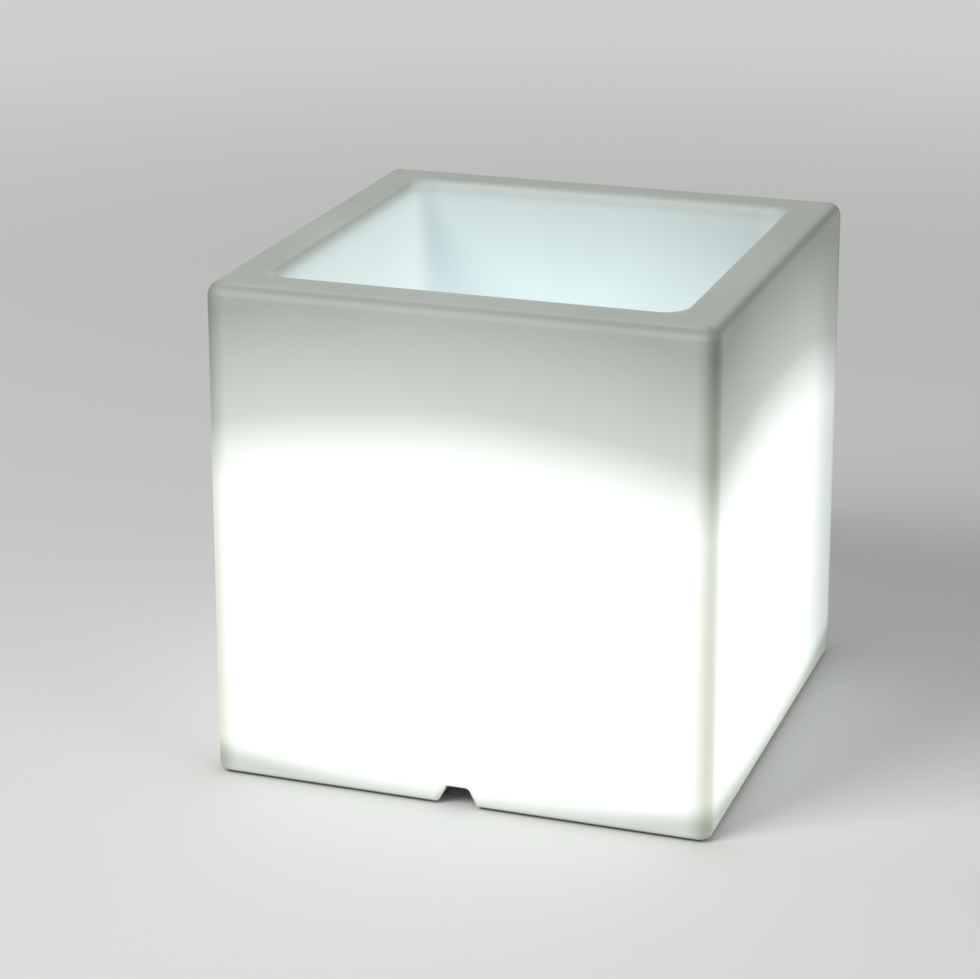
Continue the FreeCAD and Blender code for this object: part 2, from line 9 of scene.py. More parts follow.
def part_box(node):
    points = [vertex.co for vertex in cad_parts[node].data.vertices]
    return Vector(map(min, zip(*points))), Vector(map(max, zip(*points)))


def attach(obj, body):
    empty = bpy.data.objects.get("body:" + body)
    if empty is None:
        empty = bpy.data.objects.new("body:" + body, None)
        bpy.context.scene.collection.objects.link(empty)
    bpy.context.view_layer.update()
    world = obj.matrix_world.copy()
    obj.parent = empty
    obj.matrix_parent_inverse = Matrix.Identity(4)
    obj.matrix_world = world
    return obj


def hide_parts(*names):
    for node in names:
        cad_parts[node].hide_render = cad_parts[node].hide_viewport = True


# Looks of the glowing planter cube. Metres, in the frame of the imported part: X to the right, +Y to
# the back, +Z up, the cable notch in the front face towards -Y.

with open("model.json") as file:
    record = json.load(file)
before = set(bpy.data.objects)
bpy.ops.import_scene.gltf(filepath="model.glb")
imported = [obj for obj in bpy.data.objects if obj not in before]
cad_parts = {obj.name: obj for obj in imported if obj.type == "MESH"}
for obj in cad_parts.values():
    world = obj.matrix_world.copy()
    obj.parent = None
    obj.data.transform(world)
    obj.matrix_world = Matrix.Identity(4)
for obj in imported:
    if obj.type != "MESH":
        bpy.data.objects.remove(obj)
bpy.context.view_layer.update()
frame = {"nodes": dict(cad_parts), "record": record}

MM = 0.001

# Moulded cube, the sizes that the part was drawn with
BASE_SIDE = 402 * MM
SIDE_DRAFT = radians(0.36)
EDGE_RADIUS = 10 * MM
BASE_EDGE_RADIUS = 5 * MM
SKIN = 4 * MM
WELL_SIDE = 320 * MM
WELL_DEPTH = 186 * MM
WELL_DRAFT = radians(3)
WELL_RADIUS = 24 * MM
WELL_EDGE_RADIUS = 8 * MM
BAY_RADIUS = 99 * MM
BAY_DEPTH = 24.5 * MM
BAY_ROOF_BEVEL = 3 * MM
PORT_RADIUS = 75 * MM
INSERT_CIRCLE = 83 * MM
INSERT_RADIUS = 4 * MM
INSERT_LENGTH = 10 * MM
BOSS_RADIUS = 7 * MM
BOSS_HEIGHT = 12 * MM
NOTCH_BASE = 32 * MM
NOTCH_TOP = 18 * MM
NOTCH_HEIGHT = 14 * MM
NOTCH_LIP_BEVEL = 1.9 * MM
NOTCH_ROOF_RADIUS = 2 * MM
SEAT_RADIUS = 16 * MM
SEAT_DEPTH = 1.5 * MM

# Small pieces under the base
PAD_RADIUS = 15 * MM
SCREW_HEAD_RADIUS = 4 * MM
SCREW_HEAD_HEIGHT = 2.6 * MM
SCREW_RADIUS = 2 * MM
BUTTON_RADIUS = 4.4 * MM
BUTTON_COLLAR_RADIUS = 5.1 * MM
BUTTON_COLLAR_HEIGHT = 1 * MM
FLAP_RADIUS = 8.6 * MM
FLAP_THICKNESS = 2.2 * MM
STRAP_WIDTH = 7 * MM
STRAP_THICKNESS = 1.6 * MM
PLUG_ROOT, PLUG_TIP = 2.5 * MM, 1.9 * MM

# Modelling
HAIR = 0.01 * MM                     # tells faces and edges at a level from the ones beside it
NEAR = 0.1 * MM                      # the same where a cut has moved them a little
CLEAR = 5 * MM                       # how far a cutter stands out of what it cuts

shell_low, shell_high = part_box("cube_shell")
BASE, TOP = shell_low.z, shell_high.z
WELL_FLOOR = TOP - WELL_DEPTH
BAY_ROOF = BASE + BAY_DEPTH


# ---------------------------------------------------------------------------------------------
# Modelling by hand: a primitive, then edit-mode tools on the faces or edges picked by place.


def start(name, kind, **settings):
    """Add a primitive as the only selected object and go into edit mode on it."""
    if bpy.context.mode != "OBJECT":
        bpy.ops.object.mode_set(mode="OBJECT")
    bpy.ops.object.select_all(action="DESELECT")
    getattr(bpy.ops.mesh, f"primitive_{kind}_add")(**settings)
    bpy.context.view_layer.update()
    piece = bpy.context.object
    piece.name = piece.data.name = name
    bpy.ops.object.mode_set(mode="EDIT")
    bpy.ops.mesh.select_all(action="DESELECT")
    return piece


def start_block(name, low, high):
    low, high = Vector(low), Vector(high)
    return start(name, "cube", size=1, location=(low + high) / 2, scale=high - low)


def start_disc(name, centre, radius, height, sides):
    """An upright cylinder that stands on its centre point."""
    x, y, z = centre
    return start(name, "cylinder", vertices=sides, radius=radius, depth=height,
                 location=(x, y, z + height / 2))


def pick(kind, test):
    """Select just the faces or edges whose middle and direction pass the test, in world places.

    Edges inside a flat face are never picked.
    """
    piece = bpy.context.object
    bpy.ops.mesh.select_mode(type=kind)
    bpy.ops.mesh.select_all(action="DESELECT")
    mesh = bmesh.from_edit_mesh(piece.data)
    turn = piece.matrix_world.to_3x3()
    for element in mesh.faces if kind == "FACE" else mesh.edges:
        if kind == "FACE":
            middle, along = element.calc_center_median(), element.normal
        else:
            if element.is_manifold and element.calc_face_angle() < radians(1):
                continue
            ends = [vert.co for vert in element.verts]
            middle, along = (ends[0] + ends[1]) / 2, ends[1] - ends[0]
        if test(piece.matrix_world @ middle, (turn @ along).normalized()):
            element.select_set(True)
    bmesh.update_edit_mesh(piece.data)


def bevel(width, segments, test):
    pick("EDGE", test)
    bpy.ops.mesh.bevel(offset=width, offset_type="OFFSET", segments=segments, profile=0.5,
                       affect="EDGES", clamp_overlap=False)


def round_off(share, test):
    """Mark edges to be rounded together later, each by its share of the full width."""
    pick("EDGE", test)
    bpy.ops.transform.edge_bevelweight(value=share)


def extrude(travel):
    bpy.ops.mesh.extrude_region_move(TRANSFORM_OT_translate={"value": travel})


def resize(x, y, centre):
    bpy.ops.transform.resize(value=(x, y, 1), center_override=centre)


def select_only(piece):
    bpy.ops.object.select_all(action="DESELECT")
    piece.select_set(True)
    bpy.context.view_layer.objects.active = piece


def settle(piece):
    """Leave edit mode with the piece at the origin, unturned, and its faces outwards."""
    bpy.ops.mesh.select_all(action="SELECT")
    bpy.ops.mesh.remove_doubles(threshold=0.002 * MM)
    bpy.ops.mesh.normals_make_consistent(inside=False)
    bpy.ops.object.mode_set(mode="OBJECT")
    bpy.ops.object.transform_apply(location=True, rotation=True, scale=True)
    return piece


def apply_modifier(piece, kind, **settings):
    select_only(piece)
    modifier = piece.modifiers.new(kind.title(), kind)
    for name, choice in settings.items():
        setattr(modifier, name, choice)
    bpy.ops.object.modifier_apply(modifier=modifier.name)


def cut(piece, cutter, operation="DIFFERENCE"):
    """Cut another piece out of this one, or add it, and throw the other away."""
    apply_modifier(piece, "BOOLEAN", object=cutter, operation=operation, solver="EXACT")
    bpy.data.objects.remove(cutter)


def reopen(piece):
    """Go back into edit mode on a piece."""
    select_only(piece)
    bpy.ops.object.mode_set(mode="EDIT")


def smooth(piece, angle=30):
    """Smooth shading that keeps real corners sharp and flat faces flat."""
    select_only(piece)
    bpy.ops.object.shade_smooth_by_angle(angle=radians(angle))
    apply_modifier(piece, "WEIGHTED_NORMAL", keep_sharp=True)
    return piece


# ---------------------------------------------------------------------------------------------
# The moulded cube


def ring_places(radius, count, first=0):
    """Evenly spaced places round the upright axis, the first at an angle from +X in degrees."""
    angles = [radians(first + 360 * turn / count) for turn in range(count)]
    return [(radius * cos(angle), radius * sin(angle)) for angle in angles]


def is_upright(along):
    return abs(along.z) > 0.9


def reach(middle):
    """How far out a point is from the upright axis, square to a side."""
    return max(abs(middle.x), abs(middle.y))


def cube_with_well():
    """The outer block with its leaning sides, rounded edges and the open well."""
    cube = start_block("moulded_cube", (-BASE_SIDE / 2, -BASE_SIDE / 2, BASE),
                       (BASE_SIDE / 2, BASE_SIDE / 2, TOP))
    pick("FACE", lambda middle, facing: facing.z > 0.9)
    top_side = BASE_SIDE - 2 * (TOP - BASE) * tan(SIDE_DRAFT)
    resize(top_side / BASE_SIDE, top_side / BASE_SIDE, (0, 0, TOP))
    bpy.ops.mesh.inset(thickness=(top_side - WELL_SIDE) / 2)
    extrude((0, 0, -WELL_DEPTH))
    floor_side = WELL_SIDE - 2 * WELL_DEPTH * tan(WELL_DRAFT)
    resize(floor_side / WELL_SIDE, floor_side / WELL_SIDE, (0, 0, WELL_FLOOR))

    inside, outside = WELL_SIDE / 2 + MM, top_side / 2 - MM
    bevel(EDGE_RADIUS, 8, lambda middle, along: reach(middle) > outside and middle.z > BASE + MM)
    bevel(WELL_RADIUS, 12, lambda middle, along: reach(middle) < inside
          and (is_upright(along) or middle.z < TOP - MM))
    bevel(WELL_EDGE_RADIUS, 8, lambda middle, along: reach(middle) < inside
          and middle.z > TOP - HAIR and not is_upright(along))
    pick("FACE", lambda middle, facing: facing.z < -0.9)
    bpy.ops.mesh.inset(thickness=BASE_EDGE_RADIUS + 3 * MM)
    return settle(cube)


def bay_cutter():
    """Round bay in the base; its roof has the edge of the port marked in it."""
    bay = start_disc("bay_cutter", (0, 0, BASE - CLEAR), BAY_RADIUS, BAY_DEPTH + CLEAR, 128)
    bevel(BAY_ROOF_BEVEL, 1, lambda middle, along: middle.z > BAY_ROOF - HAIR)
    pick("FACE", lambda middle, facing: facing.z > 0.9)
    bpy.ops.mesh.inset(thickness=BAY_RADIUS - BAY_ROOF_BEVEL - PORT_RADIUS)
    return settle(bay)


def notch_cutter():
    """Sloping-sided channel from the front face into the bay, with rounded roof corners."""
    notch = start_block("notch_cutter", (-NOTCH_BASE / 2, -BASE_SIDE / 2 - 2 * CLEAR, BASE),
                        (NOTCH_BASE / 2, -BAY_RADIUS * 0.9, BASE + NOTCH_HEIGHT))
    pick("FACE", lambda middle, facing: facing.z > 0.9)
    resize(NOTCH_TOP / NOTCH_BASE, 1, (0, 0, BASE))
    bevel(NOTCH_ROOF_RADIUS, 4, lambda middle, along: abs(along.y) > 0.9
          and middle.z > BASE + NOTCH_HEIGHT - HAIR)
    pick("FACE", lambda middle, facing: facing.z < -0.9)
    extrude((0, 0, -CLEAR))
    return settle(notch)


def seat_cutters():
    """The four shallow round seats of the foot pads."""
    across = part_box("foot_pads")[1].x - PAD_RADIUS
    seats = []
    for x in (-across, across):
        for y in (-across, across):
            seat = start_disc("seat_cutter", (x, y, BASE - CLEAR), SEAT_RADIUS, SEAT_DEPTH + CLEAR, 48)
            seats.append(settle(seat))
    return seats


def moulded_cube():
    """The double-walled moulding: its outer face, given its skin, then bosses and insert holes."""
    cube = cube_with_well()
    for cutter in (bay_cutter(), notch_cutter(), *seat_cutters()):
        cut(cube, cutter)
    reopen(cube)
    round_off(1, lambda middle, along: reach(middle) > BASE_SIDE / 2 - 4 * MM
              and middle.z < BASE + NOTCH_HEIGHT + MM)
    round_off(NOTCH_LIP_BEVEL / BASE_EDGE_RADIUS, lambda middle, along: abs(along.y) > 0.9
              and middle.z < BASE + HAIR and abs(abs(middle.x) - NOTCH_BASE / 2) < NEAR)
    bpy.ops.object.mode_set(mode="OBJECT")
    apply_modifier(cube, "BEVEL", width=BASE_EDGE_RADIUS, segments=5, limit_method="WEIGHT",
                   offset_type="OFFSET", use_clamp_overlap=False)
    reopen(cube)
    pick("FACE", lambda middle, facing: hypot(middle.x, middle.y) < MM
         and abs(middle.z - BAY_ROOF) < NEAR)
    bpy.ops.mesh.delete(type="FACE")
    bpy.ops.object.mode_set(mode="OBJECT")
    apply_modifier(cube, "SOLIDIFY", thickness=SKIN, offset=-1, use_even_offset=True)
    for x, y in ring_places(INSERT_CIRCLE, 4, first=45):
        boss = start_disc("boss", (x, y, BAY_ROOF + SKIN / 2), BOSS_RADIUS, BOSS_HEIGHT, 6)
        cut(cube, settle(boss), "UNION")
        hole = start_disc("hole", (x, y, BAY_ROOF - SKIN), INSERT_RADIUS, SKIN + INSERT_LENGTH, 6)
        cut(cube, settle(hole))
    return smooth(cube)


# ---------------------------------------------------------------------------------------------
# Pads, screws, button and flap under the base


def copies(piece, places):
    """The piece, which is at the first place, and a copy with its own mesh at each other place."""
    select_only(piece)
    pieces = [piece]
    for last, place in zip(places, places[1:]):
        travel = (place[0] - last[0], place[1] - last[1], 0)
        bpy.ops.object.duplicate_move(TRANSFORM_OT_translate={"value": travel})
        bpy.ops.object.transform_apply(location=True, rotation=False, scale=False)
        pieces.append(bpy.context.object)
    return pieces


def foot_pads():
    """Moulded pads with a rounded rim and a ring groove that holds on smooth paving."""
    low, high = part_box("foot_pads")
    across = high.x - PAD_RADIUS
    places = [(across, across), (-across, across), (-across, -across), (across, -across)]
    pad = start_disc("foot_pad", (*places[0], low.z), PAD_RADIUS, high.z - low.z, 64)
    bevel(1 * MM, 4, lambda middle, along: middle.z < low.z + HAIR)
    pick("FACE", lambda middle, facing: middle.z < low.z + HAIR)
    bpy.ops.mesh.inset(thickness=4 * MM)
    bpy.ops.mesh.inset(thickness=0.5 * MM, depth=-0.6 * MM)
    bpy.ops.mesh.inset(thickness=2 * MM)
    bpy.ops.mesh.inset(thickness=0.5 * MM, depth=0.6 * MM)
    return copies(smooth(settle(pad)), places)


def module_screws():
    """Pan-head screws with a cross recess."""
    low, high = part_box("module_screws")
    places = ring_places(INSERT_CIRCLE, 4, first=45)
    x, y = places[0]
    screw = start_disc("module_screw", (x, y, low.z), SCREW_HEAD_RADIUS, SCREW_HEAD_HEIGHT, 48)
    pick("FACE", lambda middle, facing: facing.z > 0.9)
    bpy.ops.mesh.inset(thickness=SCREW_HEAD_RADIUS - SCREW_RADIUS)
    extrude((0, 0, high.z - low.z - SCREW_HEAD_HEIGHT))
    bevel(1.4 * MM, 6, lambda middle, along: middle.z < low.z + HAIR)
    bevel(0.3 * MM, 2, lambda middle, along: middle.z > high.z - HAIR)
    settle(screw)
    for wing in (Vector((1.7 * MM, 0.45 * MM, 0)), Vector((0.45 * MM, 1.7 * MM, 0))):
        middle = Vector((x, y, low.z))
        recess = start_block("recess", middle - wing - Vector((0, 0, MM)),
                             middle + wing + Vector((0, 0, 1.6 * MM)))
        pick("FACE", lambda middle, facing: facing.z > 0.9)
        resize(0.6, 0.6, (x, y, low.z))
        cut(screw, settle(recess))
    return copies(smooth(screw), places)


def power_button():
    """Metal push button with a dished face and the collar that keeps it in its bezel."""
    low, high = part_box("power_button")
    centre = (low + high) / 2
    button = start_disc("push_button", (centre.x, centre.y, high.z - BUTTON_COLLAR_HEIGHT),
                        BUTTON_COLLAR_RADIUS, BUTTON_COLLAR_HEIGHT, 48)
    pick("FACE", lambda middle, facing: facing.z < -0.9)
    bpy.ops.mesh.inset(thickness=BUTTON_COLLAR_RADIUS - BUTTON_RADIUS)
    extrude((0, 0, low.z - high.z + BUTTON_COLLAR_HEIGHT))
    bevel(0.4 * MM, 4, lambda middle, along: middle.z < low.z + HAIR)
    pick("FACE", lambda middle, facing: middle.z < low.z + HAIR)
    for width, dish in ((0.6, 0), (0.3, 0.12), (1.0, 0.2), (1.0, 0.1)):
        bpy.ops.mesh.inset(thickness=width * MM, depth=-dish * MM)
    return smooth(settle(button))


def port_flap():
    """Silicone cap with rounded edges, a grip rib, its tapered plug and the strap it swings on."""
    low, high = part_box("charge_port_flap")
    x, y = (low.x + high.x) / 2, low.y + FLAP_RADIUS
    top = low.z + FLAP_THICKNESS
    flap = start_disc("port_flap", (x, y, low.z), FLAP_RADIUS, FLAP_THICKNESS, 64)
    bevel(0.7 * MM, 4, lambda middle, along: middle.z < low.z + HAIR)
    bevel(0.3 * MM, 2, lambda middle, along: middle.z > top - HAIR)
    pick("FACE", lambda middle, facing: middle.z > top - HAIR)
    bpy.ops.mesh.inset(thickness=FLAP_RADIUS - 0.3 * MM - PLUG_ROOT)
    extrude((0, 0, high.z - top))
    resize(PLUG_TIP / PLUG_ROOT, PLUG_TIP / PLUG_ROOT, (x, y, high.z))
    bevel(0.3 * MM, 2, lambda middle, along: middle.z > high.z - HAIR)
    pick("FACE", lambda middle, facing: middle.z < low.z + HAIR)
    bpy.ops.mesh.inset(thickness=1.6 * MM)
    bpy.ops.mesh.inset(thickness=0.4 * MM, depth=-0.3 * MM)
    settle(flap)
    strap = start_block("strap", (x - STRAP_WIDTH / 2, y, low.z),
                        (x + STRAP_WIDTH / 2, high.y, low.z + STRAP_THICKNESS))
    bevel(STRAP_THICKNESS * 0.48, 5, lambda middle, along: middle.y > high.y - HAIR
          and abs(along.x) > 0.9)
    cut(flap, settle(strap), "UNION")
    return smooth(flap)


# ---------------------------------------------------------------------------------------------
# Finishes. Each starts from what the real material is.


def colour(sheet_value):
    """An sRGB hex colour as the linear one that a shader takes."""
    parts = [int(sheet_value[place:place + 2], 16) / 255 for place in (1, 3, 5)]
    linear = [part / 12.92 if part <= 0.04045 else ((part + 0.055) / 1.055) ** 2.4 for part in parts]
    return (*linear, 1)


def add(owner, kind, inputs=None, stops=None, **settings):
    """Add a shader node with its settings, its inputs (numbers, nodes or sockets) and ramp stops."""
    tree = owner.node_tree
    made = tree.nodes.new("ShaderNode" + kind)
    for name, choice in settings.items():
        setattr(made, name, choice)
    for socket, source in (inputs or {}).items():
        if isinstance(source, bpy.types.Node):
            source = source.outputs[0]
        if isinstance(source, bpy.types.NodeSocket):
            tree.links.new(source, made.inputs[socket])
        else:
            made.inputs[socket].default_value = source
    if stops:
        points = made.color_ramp.elements
        points.remove(points[0])
        for place, shade in stops.items():
            point = points[0] if place == min(stops) else points.new(place)
            point.position, point.color = place, shade
    return made


def new_material(name):
    """A material with nothing in it yet."""
    material = bpy.data.materials.new(name)
    material.use_nodes = True
    material.node_tree.nodes.clear()
    return material


def finish(material, looks):
    """Close a material with a principled shader that takes these numbers and nodes."""
    shader = add(material, "BsdfPrincipled", looks)
    add(material, "OutputMaterial", {"Surface": shader})
    return material


GRAIN_RANGE = (0.3, 0.7)             # the part of a noise's range that shows


def grained(name, dark, light, size, depth, rough, stretch=(1, 1, 1), **numbers):
    """A finish whose colour, roughness and height follow one grain of the given size."""
    material = new_material(name)
    place = add(material, "TexCoord").outputs["Object"]
    turned = add(material, "Mapping", {"Vector": place, "Scale": stretch})
    grain = add(material, "TexNoise", {"Vector": turned, "Scale": 1 / size, "Detail": 4.0})
    low, high = GRAIN_RANGE
    shade = add(material, "ValToRGB", {0: grain}, {low: colour(dark), high: colour(light)})
    roughness = add(material, "MapRange", {"Value": grain, "From Min": low, "From Max": high,
                                           "To Min": rough[0], "To Max": rough[1]})
    height = add(material, "Bump", {"Strength": 1.0, "Distance": depth, "Height": grain})
    numbers = {socket.replace("_", " "): number for socket, number in numbers.items()}
    return finish(material, {"Base Color": shade, "Roughness": roughness, "Normal": height, **numbers})


LAMP = Vector((0, -10 * MM, 0))      # the light module, seen from above
GLOW_SPREAD = 0.7                    # how fast the edge of the glow sinks away from the lamp, 1/m
BASE_SPREAD = 0.35                   # how fast the painted shade along the base grows, 1/m
BASE_BAND = 22 * MM                  # its height at the middle of a side
CORNER_BAND = (181 * MM, 199 * MM)   # where the painted shade of the thick corners starts and ends, from the middle planes
BACK_BAND = (95 * MM, 190 * MM)      # the same for the painted shade towards the back corners
SMOOTH = {"interpolation_type": "SMOOTHSTEP"}


def glowing_polyethylene():
    """Rotomoulded natural polyethylene, lit from inside.

    To the eye: a matt, slightly waxy grey-white skin with a faint orange peel. The low light
    module's glow is painted into the emission: bright up to the painted shade line of the well's
    floor, above it the plastic falls back to its own grey. The well glows cooler, and its deep end
    more. Where two walls meet, painted shade darkens and warms glow and colour, partly for the
    thicker plastic there, and painted shade dims the glow along the base and underside.
    """
    material = new_material("glowing_polyethylene")
    coordinates = add(material, "TexCoord")
    place, facing = coordinates.outputs["Object"], coordinates.outputs["Normal"]
    along = add(material, "SeparateXYZ", {0: place}).outputs
    height = along["Z"]
    spread = add(material, "VectorMath", {0: place}, operation="ABSOLUTE")
    spread = add(material, "SeparateXYZ", {0: spread}).outputs
    across = add(material, "Math", {0: spread["X"], 1: spread["Y"]}, operation="MAXIMUM")
    beside = add(material, "Math", {0: spread["X"], 1: spread["Y"]}, operation="MINIMUM")
    behind = add(material, "Math", {0: spread["X"], 1: along["Y"]}, operation="MINIMUM")

    # light on the outer walls, by the height of the module's shade line at each distance from it
    offset = add(material, "VectorMath", {0: place, 1: LAMP}, operation="SUBTRACT")
    flat = add(material, "VectorMath", {0: offset, 1: (1, 1, 0)}, operation="MULTIPLY")
    away = add(material, "VectorMath", {0: flat, 1: flat}, operation="DOT_PRODUCT").outputs["Value"]
    beyond = add(material, "Math", {0: away, 1: (BASE_SIDE / 2) ** 2}, operation="SUBTRACT")
    level = add(material, "Math", {0: beyond, 1: GLOW_SPREAD, 2: height}, operation="MULTIPLY_ADD")
    level = add(material, "Math", {0: level, 1: TOP}, operation="DIVIDE")
    outer_glow = add(material, "ValToRGB", {0: level}, stops={
        0.66: colour("#E3E7E4"), 0.725: colour("#C0C3C0"), 0.79: colour("#8A8D8A"),
        0.90: colour("#626862"), 1.00: colour("#0C0C0C")})

    # light in the well, by depth, less on the two walls that the room lights
    depth = add(material, "MapRange", {"Value": height, "From Min": WELL_FLOOR, "From Max": TOP})
    well_glow = add(material, "ValToRGB", {0: depth}, stops={
        0.50: colour("#BBC7CA"), 0.90: colour("#A5B3B5"), 0.945: colour("#99A4A4"),
        1.00: colour("#424543")})
    lit_wall_glow = add(material, "ValToRGB", {0: depth}, stops={
        0.30: colour("#B0C1C6"), 0.56: colour("#A1B2B9"), 0.78: colour("#86989F"),
        0.93: colour("#77838A"), 1.00: colour("#343735")})
    turned = add(material, "SeparateXYZ", {0: facing}).outputs
    lit_side = add(material, "Math", {0: turned["X"], 1: turned["Y"]}, operation="MINIMUM")
    lit_side = add(material, "MapRange", {"Value": lit_side, "From Min": -0.3, "From Max": -0.95}, **SMOOTH)
    # painted shade: the well's glow is dimmed towards its right side
    right_side_shade = add(material, "MapRange", {"Value": along["X"], "From Max": 160 * MM}, **SMOOTH)
    well_glow = add(material, "MixRGB", {0: lit_side, 1: well_glow, 2: lit_wall_glow})
    well_glow = add(material, "MixRGB", {0: right_side_shade, 1: well_glow, 2: colour("#DBDBDB")},
                    blend_type="MULTIPLY")
    beyond_lip = add(material, "MapRange", {"Value": across, "From Min": WELL_SIDE / 2,
                                            "From Max": WELL_SIDE / 2 + WELL_EDGE_RADIUS}, **SMOOTH)
    below_well = add(material, "Math", {0: height, 1: WELL_FLOOR - 2 * SKIN}, operation="LESS_THAN")
    outside = add(material, "Math", {0: beyond_lip, 1: below_well}, operation="MAXIMUM")
    glow = add(material, "MixRGB", {0: outside, 1: well_glow, 2: outer_glow})

    # painted shade in the glow at the corners between the side walls, partly for the thicker plastic there,
    # and more painted shade towards the back corners
    start, end = CORNER_BAND
    corner_shade = add(material, "MapRange", {"Value": beside, "From Min": start, "From Max": end}, **SMOOTH)
    start, end = BACK_BAND
    back_corner_shade = add(material, "MapRange", {"Value": behind, "From Min": start, "From Max": end}, **SMOOTH)
    back_corner_shade = add(material, "Math", {0: back_corner_shade, 1: outside}, operation="MULTIPLY")
    glow = add(material, "MixRGB", {0: corner_shade, 1: glow, 2: colour("#DADACE")}, blend_type="MULTIPLY")
    glow = add(material, "MixRGB", {0: back_corner_shade, 1: glow, 2: colour("#BDC4C5")}, blend_type="MULTIPLY")

    # painted shade along the base, higher towards the corners, and painted shade on the underside and in the
    # notch
    rise = add(material, "Math", {0: beyond, 1: -BASE_SPREAD, 2: height}, operation="MULTIPLY_ADD")
    band = add(material, "MapRange", {"Value": rise, "From Min": BASE + BASE_BAND,
                                      "From Max": BASE - MM}, **SMOOTH)
    glow = add(material, "MixRGB", {0: band, 1: glow, 2: colour("#A2A49F")}, blend_type="MULTIPLY")
    down = add(material, "MapRange", {"Value": turned["Z"], "From Min": -0.5, "From Max": -0.9}, **SMOOTH)
    set_back = add(material, "Math", {0: across, 1: BASE_SIDE / 2 - BASE_EDGE_RADIUS}, operation="LESS_THAN")
    in_base = add(material, "Math", {0: height, 1: BAY_ROOF + MM}, operation="LESS_THAN")
    underside_and_notch_shade = add(material, "Math", {0: set_back, 1: in_base}, operation="MULTIPLY")
    underside_and_notch_shade = add(material, "Math", {0: underside_and_notch_shade, 1: down}, operation="MAXIMUM")
    glow = add(material, "MixRGB", {0: underside_and_notch_shade, 1: glow, 2: colour("#1C1D1C")}, blend_type="MULTIPLY")

    # the moulding's own colour, faintly clouded where the wall is thicker, with painted shade darkening it
    # along the rounded edges and the corners
    clouds = add(material, "TexNoise", {"Vector": place, "Scale": 1 / (90 * MM), "Detail": 2.0})
    skin = add(material, "ValToRGB", {0: clouds}, stops={0.3: colour("#989E98"), 0.7: colour("#9CA29C")})
    squareness = add(material, "VectorMath", {0: facing}, operation="ABSOLUTE")
    squareness = add(material, "SeparateXYZ", {0: squareness}).outputs
    square = add(material, "Math", {0: squareness["X"], 1: squareness["Y"]}, operation="MAXIMUM")
    square = add(material, "Math", {0: square, 1: squareness["Z"]}, operation="MAXIMUM")
    rounded = add(material, "MapRange", {"Value": square, "From Min": 0.999, "From Max": 0.75}, **SMOOTH)
    rounded = add(material, "Math", {0: rounded, 1: beyond_lip}, operation="MULTIPLY")
    # painted shade: the rounded edges and the corners are darkened in the base colour, partly for the
    # thicker plastic
    skin = add(material, "MixRGB", {0: rounded, 1: skin, 2: colour("#83877E")})
    skin = add(material, "MixRGB", {0: corner_shade, 1: skin, 2: colour("#72766E")})

    peel = add(material, "TexNoise", {"Vector": place, "Scale": 1 / (2.5 * MM), "Detail": 2.0})
    sag = add(material, "TexNoise", {"Vector": place, "Scale": 1 / (60 * MM), "Detail": 1.0})
    waves = add(material, "Bump", {"Strength": 1.0, "Distance": 0.12 * MM, "Height": sag})
    skin_bump = add(material, "Bump", {"Strength": 1.0, "Distance": 0.02 * MM, "Height": peel,
                                       "Normal": waves})
    return finish(material, {"Base Color": skin, "Emission Color": glow, "Normal": skin_bump,
                             "Emission Strength": 1.0, "Roughness": 0.6, "IOR": 1.51})


def pad_rubber():
    """Moulded EPDM rubber: near black, dull, with a fine dusty grain."""
    return grained("pad_rubber", "#1B1B1C", "#262627", 0.6 * MM, 0.03 * MM, (0.75, 0.9), IOR=1.52)


def turned_brass():
    """Free-cutting brass, turned: warm yellow metal with fine tool marks round its axis."""
    return grained("turned_brass", "#B5974F", "#CBB06A", 0.5 * MM, 0.01 * MM, (0.25, 0.4),
                   stretch=(0.3, 0.3, 4), Metallic=1.0)


def spark_textured_abs():
    """White ABS moulded in a spark-eroded tool: matt, with a fine even grain."""
    return grained("spark_textured_abs", "#CFD0CC", "#D9DAD6", 0.8 * MM, 0.05 * MM, (0.5, 0.65),
                   IOR=1.54)


def zinc_plated_steel():
    """Zinc-plated steel: bluish silver, softly shiny with a slight mottle."""
    return grained("zinc_plated_steel", "#A9ADB1", "#C0C3C6", 1.5 * MM, 0.005 * MM, (0.22, 0.38),
                   Metallic=1.0)


def black_nylon():
    """Glass-filled black nylon: dark grey with a faint fibre sheen."""
    return grained("black_nylon", "#161617", "#232325", 0.7 * MM, 0.02 * MM, (0.38, 0.55),
                   stretch=(1, 3, 1), IOR=1.53)


def grey_silicone():
    """Moulded silicone rubber: mid grey, soft dull sheen that holds a little dust."""
    return grained("grey_silicone", "#46474A", "#525356", 0.9 * MM, 0.02 * MM, (0.55, 0.75), IOR=1.41)


def nickel_plate():
    """Bright nickel on brass: warm silver, nearly mirror smooth."""
    return grained("nickel_plate", "#BDB9B0", "#CCC8BF", 4 * MM, 0.003 * MM, (0.1, 0.18), Metallic=1.0)


def brushed_stainless():
    """Brushed stainless steel: grey silver with straight hairlines."""
    return grained("brushed_stainless", "#A3A4A6", "#BDBEC0", 0.8 * MM, 0.008 * MM, (0.25, 0.4),
                   stretch=(0.1, 6, 1), Metallic=1.0)


def frosted_polycarbonate():
    """Light-diffusing polycarbonate: milky and see-through, with a fine frost."""
    return grained("frosted_polycarbonate", "#E4E8E6", "#EEF1EF", 0.5 * MM, 0.02 * MM, (0.3, 0.45),
                   IOR=1.585, Transmission_Weight=0.8)


def shrink_wrap():
    """Blue PVC shrink sleeve on a cell: tight, glossy, slightly uneven."""
    return grained("shrink_wrap", "#1B4A6E", "#235980", 8 * MM, 0.05 * MM, (0.2, 0.32), IOR=1.54)


